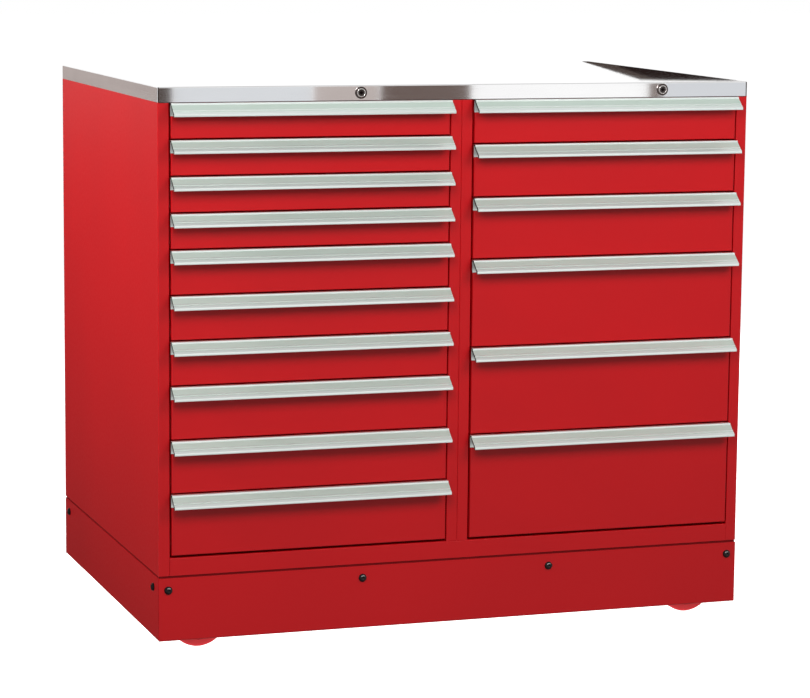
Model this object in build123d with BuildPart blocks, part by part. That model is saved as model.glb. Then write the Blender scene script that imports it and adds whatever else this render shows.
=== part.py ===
"""Two-bank roller tool cabinet with a stainless worktop, sixteen drawers and a skirted base on casters.

Millimetres, +Z up. The origin is on the floor under the middle of the cabinet's box. X runs along the
front from left to right, and Y runs from the front to the back.
"""
from build123d import *
import os
from math import atan2, degrees, sin

os.makedirs("parts", exist_ok=True)

# Housing
cabinet_width = 1330.0
cabinet_depth = 914.0
drawer_module = 19.05
left_rows = (4, 4, 4, 4, 5, 5, 5, 6, 6, 7)
right_rows = (5, 6, 7, 10, 10, 12)
stile_width = 24.5
stile_return = 35.0
sheet = 1.5
sheet_bend = 2.0
back_sheet = 1.2
bottom_rail = 38.0
stack_gap = 4.0

# Worktop
top_thickness = 31.75
top_skin = 1.2
top_edge_radius = 2.5
corner_seam = 0.8

# Skirt and base frame
skirt_clearance = 38.0
skirt_height = 136.0
skirt_sheet = 2.0
skirt_hem = 8.0
skirt_bend = 3.5
skirt_joint = 5.0
seam_gap = 3.0
base_bar = 4.0
base_bar_drop = 56.0
channel_width = 120.0

# Screws that hold the skirt
screw_head_radius = 8.75
screw_head_height = 5.2
screw_rim = 1.0
screw_flat = 4.0
screw_crown_radius = 5.3
screw_radius = 5.0
screw_length = 14.0
screw_hole_clearance = 0.5
screw_socket = 3.0
screw_socket_depth = 2.6
screw_inset = 21.0
screw_side_inset = 45.0
screw_drop = 26.0
front_screws = 4
hole_depth = 24.0

# Drawers
front_proud = 3.0
front_thickness = 19.0
front_skin = 1.5
front_bend = 2.0
side_gap = 3.5
row_gap_low = 1.5
row_gap_high = 1.5
box_rear_gap = 31.0
box_wall = 1.2
box_lift = 6.0
box_top_gap = 10.0
pan_play = 2.0
back_wall_drop = 6.0

# Slides
slide_thickness = 12.7
slide_height = 45.0
slide_length = 812.0
slide_wall = 1.5
slide_rise = 34.0
slide_setback = 3.0
slide_play = 0.3
upright_width = 50.0

# Aluminium pulls
pull_height = 26.5
pull_reach = 34.0
pull_top = 11.0
pull_overhang = 2.0
pull_wall = 2.2
pull_nose = 5.0
pull_curl = 5.0
pull_groove = 1.6
pull_groove_depth = 0.7
pull_groove_places = (0.1, 0.66, 0.83)

# Locks
left_lock_offset = 106.5
right_lock_offset = 129.5
bezel_radius = 13.0
bezel_thickness = 2.5
barrel_radius = 9.5
barrel_length = 26.0
barrel_nut_radius = 13.0
barrel_nut_thickness = 4.0
plug_radius = 6.5
plug_clearance = 0.05
key_slot_width = 2.0
key_slot_height = 7.5
key_slot_depth = 5.0
tail_radius = 3.0
tail_clearance = 2.0
crank_radius = 13.0
crank_thickness = 4.0
crank_throw = 8.0
crank_pin_radius = 2.5
lock_bar_width = 30.0
lock_bar_thickness = 3.0
lock_bar_inset = 9.0
lock_bar_play = 0.5
hook_width = 20.0
hook_sheet = 2.0
hook_gap = 2.0
hook_tip = 8.0
clip_height = 16.0
clip_play = 0.3
clip_low = 22.0
clip_high = 58.0
lock_bar_overrun = 16.0
slot_allowance = 2.6
slot_side_play = 1.3
pocket_play = 2.0

# Casters
caster_height = 165.0
caster_inset = 110.0
wheel_radius = 63.5
wheel_width = 50.0
tread_thickness = 16.0
tread_shoulder = 7.0
hub_inset = 2.0
hub_recess = 12.0
hub_boss_radius = 17.0
hub_rim = 5.0
axle_radius = 6.0
axle_clearance = 0.05
axle_head_radius = 11.0
axle_head_thickness = 7.0
fork_gap = 54.0
fork_wall = 3.0
fork_foot_radius = 17.0
fork_top_width = 64.0
plate_length = 110.0
plate_width = 92.0
plate_thickness = 4.0
plate_corner = 8.0
swivel_trail = 32.0
race_radius = 32.0
race_height = 10.7
race_clearance = 0.3
swivel_disc_height = 4.0
king_pin_radius = 8.0
king_pin_clearance = 0.05

# How near two points must be to count as one
tolerance = 0.01

# Levels, from the floor up
skirt_top = skirt_clearance + skirt_height
housing_bottom = skirt_top + skirt_joint
floor_top = housing_bottom + bottom_rail
stack_bottom = floor_top + stack_gap
stack_height = drawer_module * sum(left_rows)
bank_top = stack_bottom + stack_height
worktop_top = bank_top + top_thickness
lock_z = bank_top + top_thickness / 2
pan_under = bank_top - sheet

# Front to back
front_y = -(cabinet_depth + screw_head_height - front_proud - pull_reach) / 2
rear_y = front_y + cabinet_depth
face_y = front_y - front_proud
box_front_y = face_y + front_thickness
box_rear_y = rear_y - box_rear_gap
slide_y = box_front_y + slide_setback
flange_y = rear_y - back_sheet

# Left to right
half_width = cabinet_width / 2
opening_width = half_width - 2 * stile_width
bank_centre = half_width / 2
box_half = opening_width / 2 - slide_thickness


def block(x_low, x_high, y_low, y_high, z_low, z_high, mode=Mode.ADD):
    """A block between two corners."""
    middle = ((x_low + x_high) / 2, (y_low + y_high) / 2, (z_low + z_high) / 2)
    with Locations(middle):
        Box(x_high - x_low, y_high - y_low, z_high - z_low, mode=mode)


def fold(points, plane, length, thickness, bend, side):
    """A folded sheet: the path of its outer face, thickened to one side and run along the plane's normal."""
    with BuildSketch(plane) as profile:
        with BuildLine():
            FilletPolyline(*points, radius=bend)
            offset(amount=thickness, side=side)
        make_face()
    extrude(profile.sketch, amount=length)


def save(piece, name):
    """Label a finished piece, or a list of separate solids, and write it under its name."""
    if isinstance(piece, list):
        piece = Compound(children=piece)
    piece.label = name
    export_step(piece, f"parts/{name}.step")


def wall_sheet(outer_x, inward, low_z):
    """One wall of a bank: rear flange, side, front stile and the stile's return, folded from one sheet."""
    stile_x = outer_x + inward * stile_width
    points = (
        (stile_x, front_y + stile_return),
        (stile_x, front_y),
        (outer_x, front_y),
        (outer_x, flange_y),
        (stile_x, flange_y),
    )
    side = Side.RIGHT if inward > 0 else Side.LEFT
    with BuildPart() as wall:
        fold(points, Plane.XY.offset(low_z), pan_under - low_z, sheet, sheet_bend, side)
    return wall.part


def rear_upright(outer_x, inward):
    """A channel on the wall that carries the rear ends of the fixed rails."""
    inner_x = outer_x + inward * sheet
    stile_x = outer_x + inward * stile_width
    near_y = slide_y + slide_length - upright_width
    far_y = slide_y + slide_length
    points = ((inner_x, near_y), (stile_x, near_y), (stile_x, far_y), (inner_x, far_y))
    side = Side.LEFT if inward > 0 else Side.RIGHT
    with BuildPart() as upright:
        fold(points, Plane.XY.offset(floor_top), pan_under - floor_top, sheet, sheet_bend, side)
    return upright.part


# Side panels: below the floor only the outer skin is left, so that the base frame fits behind it
for name, outer_x, inward in (("left_side_panel", -half_width, 1), ("right_side_panel", half_width, -1)):
    with BuildPart() as side_panel:
        add(wall_sheet(outer_x, inward, housing_bottom))
        skin_x = outer_x + inward * sheet
        past_x = outer_x + inward * (stile_width + sheet)
        block(
            min(skin_x, past_x), max(skin_x, past_x), front_y + sheet, rear_y, housing_bottom, floor_top,
            mode=Mode.SUBTRACT,
        )
    save([side_panel.part, rear_upright(outer_x, inward)], name)

# Centre divider: two sheets back to back, one for each bank, whose stiles meet in the middle
divider_pieces = []
for inward in (-1, 1):
    divider_pieces += [wall_sheet(0, inward, floor_top), rear_upright(0, inward)]
save(divider_pieces, "centre_divider")

# Bottom pan: the floor of both banks, folded down in front into the bottom rail
with BuildPart() as bottom_pan:
    rail_points = (
        (front_y, housing_bottom),
        (front_y, floor_top),
        (flange_y - sheet, floor_top),
    )
    rail_half = half_width - stile_width
    fold(rail_points, Plane.YZ.offset(-rail_half), 2 * rail_half, sheet, sheet_bend, Side.RIGHT)
    for low_x, high_x in ((-half_width + sheet, -rail_half), (rail_half, half_width - sheet)):
        block(low_x, high_x, front_y + sheet, flange_y - sheet, floor_top - sheet, floor_top)
save(bottom_pan.part, "bottom_pan")

# Locks: one over each bank, and where its lock bar runs behind the drawers
left_lock_x = -bank_centre + left_lock_offset
right_lock_x = bank_centre + right_lock_offset
lock_xs = (left_lock_x, right_lock_x)
bar_front_y = rear_y - lock_bar_inset - lock_bar_thickness
bar_rear_y = rear_y - lock_bar_inset
crank_y = bar_front_y - lock_bar_play - crank_thickness
nut_y = front_y + top_skin
crank_pocket_half = crank_radius + 2 * pocket_play

# Top pan: a flat sheet under the worktop, cut back over the drawers' fronts, with a slot for each lock bar
with BuildPart() as top_pan:
    block(-half_width, half_width, front_y, rear_y, pan_under, bank_top)
    for bank_x in (-bank_centre, bank_centre):
        block(
            bank_x - opening_width / 2, bank_x + opening_width / 2, front_y, box_front_y + pan_play,
            pan_under, bank_top, mode=Mode.SUBTRACT,
        )
    for lock_x in lock_xs:
        slot_half = lock_bar_width / 2 + pocket_play
        block(
            lock_x - slot_half, lock_x + slot_half, bar_front_y - pocket_play, bar_rear_y + pocket_play,
            pan_under, bank_top, mode=Mode.SUBTRACT,
        )
save(top_pan.part, "top_pan")

# Back panel: a flat sheet with the clips that guide the lock bars
clip_front_y = bar_front_y - clip_play - sheet
clip_half = lock_bar_width / 2 + clip_play + sheet
lowest_clip_z = stack_bottom + clip_low
highest_clip_z = bank_top - clip_high
with BuildPart() as back_sheet_metal:
    block(-half_width, half_width, flange_y, rear_y, housing_bottom, pan_under)
back_pieces = [back_sheet_metal.part]
for lock_x in lock_xs:
    for clip_z in (lowest_clip_z, highest_clip_z):
        clip_points = (
            (lock_x - clip_half, flange_y),
            (lock_x - clip_half, clip_front_y),
            (lock_x + clip_half, clip_front_y),
            (lock_x + clip_half, flange_y),
        )
        with BuildPart() as clip:
            fold(clip_points, Plane.XY.offset(clip_z), clip_height, sheet, sheet + clip_play, Side.RIGHT)
        back_pieces.append(clip.part)
save(back_pieces, "back_panel")

# Worktop core: a board that fills the skin, grooved underneath for the locks' tail rods
with BuildPart() as worktop_core:
    block(
        -half_width + top_skin, half_width - top_skin, front_y + top_skin, rear_y - top_skin,
        bank_top, worktop_top - top_skin,
    )
    for lock_x in lock_xs:
        groove_half = tail_radius + tail_clearance
        block(
            lock_x - groove_half, lock_x + groove_half, nut_y, rear_y - top_skin,
            bank_top, lock_z + groove_half, mode=Mode.SUBTRACT,
        )
        pocket_half = barrel_nut_radius + plug_clearance
        block(
            lock_x - pocket_half, lock_x + pocket_half, nut_y, front_y + barrel_length + pocket_play,
            bank_top, lock_z + pocket_half, mode=Mode.SUBTRACT,
        )
        block(
            lock_x - crank_pocket_half, lock_x + crank_pocket_half, crank_y - pocket_play,
            rear_y - top_skin, bank_top, lock_z + pocket_half, mode=Mode.SUBTRACT,
        )
save(worktop_core.part, "worktop_core")

# Stainless top: a folded skin over the core, its edges butted at the corners with a fine open seam
with BuildPart() as stainless_top:
    block(-half_width, half_width, front_y, rear_y, bank_top, worktop_top)
    upright_edges = stainless_top.edges().filter_by(Axis.Z)
    fillet(upright_edges, radius=top_skin)
    rim = stainless_top.faces().sort_by(Axis.Z)[-1].edges()
    fillet(rim, radius=top_edge_radius)
    block(
        -half_width + top_skin, half_width - top_skin, front_y + top_skin, rear_y - top_skin,
        bank_top, worktop_top - top_skin, mode=Mode.SUBTRACT,
    )
    seam_top = worktop_top - top_edge_radius
    for outer_x, inward in ((-half_width, 1), (half_width, -1)):
        inner_x = outer_x + inward * top_skin
        for seam_y in (front_y + top_skin, rear_y - top_skin - corner_seam):
            block(
                min(outer_x, inner_x), max(outer_x, inner_x), seam_y, seam_y + corner_seam,
                bank_top, seam_top, mode=Mode.SUBTRACT,
            )
    with Locations(*[Location((lock_x, front_y, lock_z), (90, 0, 0)) for lock_x in lock_xs]):
        Cylinder(barrel_radius + plug_clearance, hole_depth, mode=Mode.SUBTRACT)
save(stainless_top.part, "stainless_top")

# Skirt: four panels with a hem along the lower edge. The front and rear ones cover the ends of the others
screw_z = skirt_top - screw_drop
screw_hole_radius = screw_radius + screw_hole_clearance
screw_pitch = (cabinet_width - 2 * screw_inset) / (front_screws - 1)
long_screw_xs = [-half_width + screw_inset + number * screw_pitch for number in range(front_screws)]
side_screw_ys = (front_y + screw_side_inset, rear_y - screw_side_inset)

for name, outer_y, inward in (("front_skirt", front_y, 1), ("rear_skirt", rear_y, -1)):
    with BuildPart() as long_skirt:
        skirt_points = (
            (outer_y, skirt_top),
            (outer_y, skirt_clearance),
            (outer_y + inward * skirt_hem, skirt_clearance),
        )
        side = Side.LEFT if inward > 0 else Side.RIGHT
        fold(skirt_points, Plane.YZ.offset(-half_width), cabinet_width, skirt_sheet, skirt_bend, side)
        behind_y = outer_y + inward * skirt_sheet
        hem_y = outer_y + inward * skirt_hem
        for end_x, end_inward in ((-half_width, 1), (half_width, -1)):
            notch_x = end_x + end_inward * (skirt_hem + seam_gap)
            block(
                min(end_x, notch_x), max(end_x, notch_x), min(behind_y, hem_y), max(behind_y, hem_y),
                skirt_clearance, skirt_top, mode=Mode.SUBTRACT,
            )
        with Locations(*[Location((x, outer_y, screw_z), (90, 0, 0)) for x in long_screw_xs]):
            Cylinder(screw_hole_radius, hole_depth, mode=Mode.SUBTRACT)
    save(long_skirt.part, name)

for name, outer_x, inward in (("left_skirt", -half_width, 1), ("right_skirt", half_width, -1)):
    with BuildPart() as end_skirt:
        skirt_points = (
            (outer_x, skirt_top),
            (outer_x, skirt_clearance),
            (outer_x + inward * skirt_hem, skirt_clearance),
        )
        side = Side.LEFT if inward > 0 else Side.RIGHT
        end_rear_y = rear_y - skirt_sheet - seam_gap
        end_front_y = front_y + skirt_sheet + seam_gap
        fold(
            skirt_points, Plane.XZ.offset(-end_rear_y), end_rear_y - end_front_y, skirt_sheet,
            skirt_bend, side,
        )
        with Locations(*[Location((outer_x, y, screw_z), (0, 90, 0)) for y in side_screw_ys]):
            Cylinder(screw_hole_radius, hole_depth, mode=Mode.SUBTRACT)
    save(end_skirt.part, name)

# Base frame: bars behind the skirt all round, and two channels across the ends that carry the casters
channel_top = floor_top - sheet
bar_top = channel_top - sheet_bend
bar_bottom = skirt_top - base_bar_drop
bar_outer_x = half_width - skirt_sheet
bar_inner_x = bar_outer_x - base_bar
bar_inner_front_y = front_y + skirt_sheet + base_bar
bar_inner_rear_y = rear_y - skirt_sheet - base_bar
channel_x = half_width - caster_inset

frame_pieces = []
for outer_y, low_y in ((front_y, front_y + skirt_sheet), (rear_y, bar_inner_rear_y)):
    with BuildPart() as long_bar:
        block(-bar_outer_x, bar_outer_x, low_y, low_y + base_bar, bar_bottom, bar_top)
        with Locations(*[Location((x, outer_y, screw_z), (90, 0, 0)) for x in long_screw_xs]):
            Cylinder(screw_hole_radius, hole_depth, mode=Mode.SUBTRACT)
    frame_pieces.append(long_bar.part)
for outer_x, low_x in ((-half_width, -bar_outer_x), (half_width, bar_inner_x)):
    with BuildPart() as end_bar:
        block(low_x, low_x + base_bar, bar_inner_front_y, bar_inner_rear_y, bar_bottom, bar_top)
        with Locations(*[Location((outer_x, y, screw_z), (0, 90, 0)) for y in side_screw_ys]):
            Cylinder(screw_hole_radius, hole_depth, mode=Mode.SUBTRACT)
    frame_pieces.append(end_bar.part)
for centre_x in (-channel_x, channel_x):
    channel_points = (
        (centre_x - channel_width / 2, channel_top),
        (centre_x - channel_width / 2, caster_height),
        (centre_x + channel_width / 2, caster_height),
        (centre_x + channel_width / 2, channel_top),
    )
    with BuildPart() as channel:
        fold(
            channel_points, Plane.XZ.offset(-bar_inner_rear_y), bar_inner_rear_y - bar_inner_front_y,
            base_bar, base_bar + sheet_bend, Side.LEFT,
        )
    frame_pieces.append(channel.part)
save(frame_pieces, "base_frame")

# One button-head screw, standing on the origin with its head up
with BuildPart() as button_screw:
    with BuildSketch(Plane.XZ):
        with BuildLine():
            Line((0, 0), (screw_head_radius, 0))
            Line((screw_head_radius, 0), (screw_head_radius, screw_rim))
            crown = (screw_flat, screw_head_height)
            RadiusArc((screw_head_radius, screw_rim), crown, -screw_crown_radius)
            Line(crown, (0, screw_head_height))
            Line((0, screw_head_height), (0, 0))
        make_face()
    revolve(axis=Axis.Z)
    with BuildSketch(Plane.XY):
        Circle(screw_radius)
    extrude(amount=-screw_length)
    with BuildSketch(Plane.XY.offset(screw_head_height)):
        RegularPolygon(radius=screw_socket, side_count=6)
    extrude(amount=-screw_socket_depth, mode=Mode.SUBTRACT)

with BuildPart() as skirt_screws:
    screw_planes = [Plane((x, front_y, screw_z), z_dir=(0, -1, 0)) for x in long_screw_xs]
    screw_planes += [Plane((x, rear_y, screw_z), z_dir=(0, 1, 0)) for x in long_screw_xs]
    screw_planes += [Plane((-half_width, y, screw_z), z_dir=(-1, 0, 0)) for y in side_screw_ys]
    screw_planes += [Plane((half_width, y, screw_z), z_dir=(1, 0, 0)) for y in side_screw_ys]
    with Locations(*screw_planes):
        add(button_screw.part)
save(skirt_screws.part, "skirt_screws")


def slide_channel(wall_x, inward, depth, height, centre_z):
    """A C-shaped slide member whose web lies on wall_x and whose lips point inward."""
    tip_x = wall_x + inward * depth
    points = (
        (tip_x, centre_z + height / 2),
        (wall_x, centre_z + height / 2),
        (wall_x, centre_z - height / 2),
        (tip_x, centre_z - height / 2),
    )
    side = Side.LEFT if inward > 0 else Side.RIGHT
    with BuildPart() as channel:
        fold(
            points, Plane.XZ.offset(-(slide_y + slide_length)), slide_length, slide_wall,
            slide_wall + slide_play, side,
        )
    return channel.part


def drawer_box(bank_x, low_z, high_z):
    """A drawer: a hollow front pan welded to an open box, with a slide runner on each side."""
    front_half = opening_width / 2 - side_gap
    front_low = low_z + row_gap_low
    front_high = high_z - row_gap_high
    box_low = low_z + box_lift
    box_high = high_z - box_top_gap
    left_x = bank_x - box_half
    right_x = bank_x + box_half
    with BuildPart() as drawer:
        block(bank_x - front_half, bank_x + front_half, face_y, box_front_y, front_low, front_high)
        fillet(drawer.faces().sort_by(Axis.Y)[0].edges(), radius=front_bend)
        block(
            bank_x - front_half + front_skin, bank_x + front_half - front_skin, face_y + front_skin,
            box_front_y, front_low + front_skin, front_high - front_skin, mode=Mode.SUBTRACT,
        )
        block(left_x, right_x, box_front_y - box_wall, box_front_y, box_low, front_high)
        block(left_x, right_x, box_front_y - box_wall, box_rear_y, box_low, box_low + box_wall)
        block(left_x, right_x, box_rear_y - box_wall, box_rear_y, box_low, box_high - back_wall_drop)
        for low_x in (left_x, right_x - box_wall):
            block(low_x, low_x + box_wall, box_front_y - box_wall, box_rear_y, box_low, box_high)
    runner_depth = slide_thickness - slide_wall - slide_play
    runner_height = slide_height - 2 * slide_wall - 2 * slide_play
    left_runner = slide_channel(left_x, -1, runner_depth, runner_height, low_z + slide_rise)
    right_runner = slide_channel(right_x, 1, runner_depth, runner_height, low_z + slide_rise)
    return [drawer.part, left_runner, right_runner]


def drawer_pull(bank_x, high_z):
    """An aluminium pull: a leg on the drawer's face and a slanted grip that leans out to a curled nose."""
    top = high_z - row_gap_high
    pull_half = opening_width / 2 - side_gap + pull_overhang
    foot = top - pull_height
    grip_run = pull_reach - pull_top
    grip_drop = pull_height - pull_nose
    slant = atan2(grip_drop, grip_run)
    grip_wall = pull_wall / sin(slant)
    with BuildPart() as pull:
        with BuildSketch(Plane.YZ.offset(bank_x - pull_half)):
            with BuildLine():
                Polyline(
                    (face_y, top),
                    (face_y - pull_top, top),
                    (face_y - pull_reach, foot + pull_nose),
                    (face_y - pull_reach, foot),
                    (face_y - pull_reach + pull_curl, foot),
                    (face_y - pull_reach + pull_curl, foot + pull_wall),
                    (face_y - pull_reach + grip_wall, foot + pull_nose),
                    (face_y - pull_top + grip_wall - pull_wall * grip_run / grip_drop, top - pull_wall),
                    (face_y - pull_wall, top - pull_wall),
                    (face_y - pull_wall, foot),
                    (face_y, foot),
                    close=True,
                )
            make_face()
            outer_corners = pull_corner_points(top, foot)
            corners = [v for v in vertices() if close_to_any(v, outer_corners)]
            fillet(corners, radius=pull_wall / 2)
            for share in pull_groove_places:
                groove_y = face_y - pull_top - share * grip_run
                groove_z = top - share * grip_drop
                with Locations(Location((groove_y, groove_z, 0), (0, 0, degrees(slant)))):
                    Rectangle(pull_groove, 2 * pull_groove_depth, mode=Mode.SUBTRACT)
        extrude(amount=2 * pull_half)
    return pull.part


def pull_corner_points(top, foot):
    """The corners of a pull's outline that are rounded."""
    return (
        (face_y - pull_top, top),
        (face_y - pull_reach, foot + pull_nose),
        (face_y - pull_reach, foot),
    )


def close_to_any(vertex, points):
    """Whether a vertex lies on one of the points."""
    return any(abs(vertex.X - y) < tolerance and abs(vertex.Y - z) < tolerance for y, z in points)


def row_levels(rows):
    """The lower and upper edge of each drawer's row, from the top row down."""
    module = stack_height / sum(rows)
    high_z = bank_top
    levels = []
    for count in rows:
        levels.append((high_z - count * module, high_z))
        high_z -= count * module
    return levels


# Drawers and their pulls, numbered from the top
banks = (("left", -bank_centre, left_rows), ("right", bank_centre, right_rows))
for bank_name, bank_x, rows in banks:
    for number, (low_z, high_z) in enumerate(row_levels(rows), start=1):
        save(drawer_box(bank_x, low_z, high_z), f"drawer_{bank_name}_{number:02d}")
        save(drawer_pull(bank_x, high_z), f"pull_{bank_name}_{number:02d}")

# Fixed rails of the slides, a pair for each drawer
rail_depth = slide_thickness - slide_wall - slide_play
rail_pieces = []
for bank_name, bank_x, rows in banks:
    for low_z, high_z in row_levels(rows):
        for side_x, inward in ((bank_x - opening_width / 2, 1), (bank_x + opening_width / 2, -1)):
            rail_pieces.append(slide_channel(side_x, inward, rail_depth, slide_height, low_z + slide_rise))
save(rail_pieces, "slide_rails")

# Lock barrels: bezel, barrel and clamping nut in the worktop's front edge
with BuildPart() as lock_barrels:
    for lock_x in lock_xs:
        barrel_bore = plug_radius + plug_clearance
        with BuildSketch(Plane((lock_x, front_y, lock_z), x_dir=(1, 0, 0), z_dir=(0, -1, 0))):
            Circle(bezel_radius)
            Circle(barrel_bore, mode=Mode.SUBTRACT)
        extrude(amount=bezel_thickness)
        with BuildSketch(Plane((lock_x, front_y, lock_z), x_dir=(1, 0, 0), z_dir=(0, 1, 0))):
            Circle(barrel_radius)
            Circle(barrel_bore, mode=Mode.SUBTRACT)
        extrude(amount=barrel_length)
        with BuildSketch(Plane((lock_x, nut_y, lock_z), x_dir=(1, 0, 0), z_dir=(0, 1, 0))):
            RegularPolygon(barrel_nut_radius, 6)
            Circle(barrel_bore, mode=Mode.SUBTRACT)
        extrude(amount=barrel_nut_thickness)
    bezel_rims = lock_barrels.edges().filter_by(GeomType.CIRCLE).filter_by_position(
        Axis.Y, front_y - bezel_thickness - tolerance, front_y - bezel_thickness + tolerance
    )
    fillet([edge for edge in bezel_rims if edge.radius > barrel_radius], radius=bezel_thickness / 2)
save(lock_barrels.part, "lock_barrels")

# Lock plugs: the turning plug, its tail rod, and the crank at the rod's end that moves the lock bar
for name, lock_x in (("left_lock_plug", left_lock_x), ("right_lock_plug", right_lock_x)):
    with BuildPart() as lock_plug:
        plug_front_y = front_y - bezel_thickness
        plug_rear_y = front_y + barrel_length
        with BuildSketch(Plane((lock_x, plug_front_y, lock_z), x_dir=(1, 0, 0), z_dir=(0, 1, 0))):
            Circle(plug_radius)
        extrude(amount=plug_rear_y - plug_front_y)
        block(
            lock_x - key_slot_width / 2, lock_x + key_slot_width / 2, plug_front_y,
            plug_front_y + key_slot_depth, lock_z - key_slot_height / 2, lock_z + key_slot_height / 2,
            mode=Mode.SUBTRACT,
        )
    with BuildPart() as tail_rod:
        with BuildSketch(Plane((lock_x, plug_rear_y, lock_z), x_dir=(1, 0, 0), z_dir=(0, 1, 0))):
            Circle(tail_radius)
        extrude(amount=crank_y - plug_rear_y)
    with BuildPart() as crank:
        with BuildSketch(Plane((lock_x, crank_y, lock_z), x_dir=(1, 0, 0), z_dir=(0, 1, 0))):
            Circle(crank_radius)
        extrude(amount=crank_thickness)
        with BuildSketch(Plane((lock_x + crank_throw, crank_y, lock_z), x_dir=(1, 0, 0), z_dir=(0, 1, 0))):
            Circle(crank_pin_radius)
        extrude(amount=bar_rear_y + lock_bar_play - crank_y)
    save([lock_plug.part, tail_rod.part, crank.part], name)

# Lock bars: a flat bar behind each bank with a hook over every drawer's back wall, pushed down to lock
for bank_name, lock_x, rows in (("left", left_lock_x, left_rows), ("right", right_lock_x, right_rows)):
    with BuildPart() as lock_bar:
        slot_low = lock_z - crank_pin_radius - slot_allowance
        slot_high = lock_z + crank_pin_radius + clip_play
        bar_half = lock_bar_width / 2
        block(
            lock_x - bar_half, lock_x + bar_half, bar_front_y, bar_rear_y,
            lowest_clip_z - lock_bar_overrun, slot_high + lock_bar_thickness,
        )
        block(
            lock_x - crank_pin_radius - slot_side_play, lock_x + crank_throw + crank_pin_radius + clip_play,
            bar_front_y, bar_rear_y, slot_low, slot_high, mode=Mode.SUBTRACT,
        )
        for low_z, high_z in row_levels(rows):
            wall_top = high_z - box_top_gap - back_wall_drop
            tip_low = wall_top + hook_gap
            tip_high = tip_low + hook_tip
            tip_y = box_rear_y - box_wall - hook_gap - hook_sheet
            hook_half = hook_width / 2
            block(lock_x - hook_half, lock_x + hook_half, tip_y, bar_front_y, tip_high, tip_high + hook_sheet)
            block(lock_x - hook_half, lock_x + hook_half, tip_y, tip_y + hook_sheet, tip_low, tip_high)
    save(lock_bar.part, f"{bank_name}_lock_bar")


def fork_legs(pivot_x, pivot_y, axle_x, web_low, web_high):
    """A bent fork: a flat web on top and a leg down each side of the wheel to the axle."""
    half_fork = fork_gap / 2 + fork_wall
    with BuildSketch(Plane.XZ.offset(-(pivot_y + half_fork))) as side_view:
        with Locations((axle_x, wheel_radius)):
            Circle(fork_foot_radius)
        with Locations((pivot_x, (web_low + web_high) / 2)):
            Rectangle(fork_top_width, web_high - web_low)
        make_hull()
    extrude(side_view.sketch, amount=2 * half_fork)
    reach = fork_top_width + swivel_trail
    block(
        pivot_x - reach, pivot_x + reach, pivot_y - fork_gap / 2, pivot_y + fork_gap / 2,
        0, web_low, mode=Mode.SUBTRACT,
    )
    with Locations(Location((axle_x, pivot_y, wheel_radius), (90, 0, 0))):
        Cylinder(axle_radius + axle_clearance, 4 * half_fork, mode=Mode.SUBTRACT)


def axle_bolt(axle_x, axle_y):
    """The bolt that carries a wheel, with its head and nut outside the fork's legs."""
    half_fork = fork_gap / 2 + fork_wall
    with BuildPart() as bolt:
        with BuildSketch(Plane.XZ.offset(-(axle_y + half_fork + axle_head_thickness))):
            with Locations((axle_x, wheel_radius)):
                Circle(axle_radius)
        extrude(amount=2 * (half_fork + axle_head_thickness))
        for head_y in (axle_y + half_fork + axle_head_thickness, axle_y - half_fork):
            with BuildSketch(Plane.XZ.offset(-head_y)):
                with Locations((axle_x, wheel_radius)):
                    RegularPolygon(axle_head_radius, 6)
            extrude(amount=axle_head_thickness)
    return bolt.part


def caster_plate(centre_x, centre_y):
    """The plate that bolts a caster to its channel."""
    with BuildSketch(Plane.XY.offset(caster_height - plate_thickness)) as outline:
        with Locations((centre_x, centre_y)):
            RectangleRounded(plate_width, plate_length, plate_corner)
    extrude(outline.sketch, amount=plate_thickness)


caster_ys = (("front", front_y + caster_inset), ("rear", rear_y - caster_inset))
plate_under = caster_height - plate_thickness

# Rigid casters at the left end: plate and fork in one, with the axle through its legs
rigid_pieces = []
for end_name, centre_y in caster_ys:
    with BuildPart() as rigid_fork:
        caster_plate(-channel_x, centre_y)
        fork_legs(-channel_x, centre_y, -channel_x, plate_under - fork_wall, plate_under)
    rigid_pieces += [rigid_fork.part, axle_bolt(-channel_x, centre_y)]
save(rigid_pieces, "rigid_caster_forks")

# Swivel casters at the right end: a plate with the fixed race under it
race_low = plate_under - race_height
with BuildPart() as swivel_plates:
    for end_name, centre_y in caster_ys:
        caster_plate(channel_x, centre_y)
        with BuildSketch(Plane.XY.offset(race_low)):
            with Locations((channel_x, centre_y)):
                Circle(race_radius)
        extrude(amount=race_height)
        with BuildSketch(Plane.XY.offset(race_low)):
            with Locations((channel_x, centre_y)):
                Circle(king_pin_radius + king_pin_clearance)
        extrude(amount=race_height, mode=Mode.SUBTRACT)
save(swivel_plates.part, "swivel_caster_plates")

# Swivel forks: the fork, the turning race and the king pin, with the axle set back from the pin
disc_top = race_low - race_clearance
web_top = disc_top - swivel_disc_height
for end_name, centre_y in caster_ys:
    with BuildPart() as swivel_fork:
        fork_legs(channel_x, centre_y, channel_x + swivel_trail, web_top - fork_wall, web_top)
        with BuildSketch(Plane.XY.offset(web_top)):
            with Locations((channel_x, centre_y)):
                Circle(race_radius)
        extrude(amount=swivel_disc_height)
        with BuildSketch(Plane.XY.offset(disc_top)):
            with Locations((channel_x, centre_y)):
                Circle(king_pin_radius)
        extrude(amount=race_height)
    swivel_axle = axle_bolt(channel_x + swivel_trail, centre_y)
    save([swivel_fork.part, swivel_axle], f"{end_name}_swivel_fork")


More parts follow.
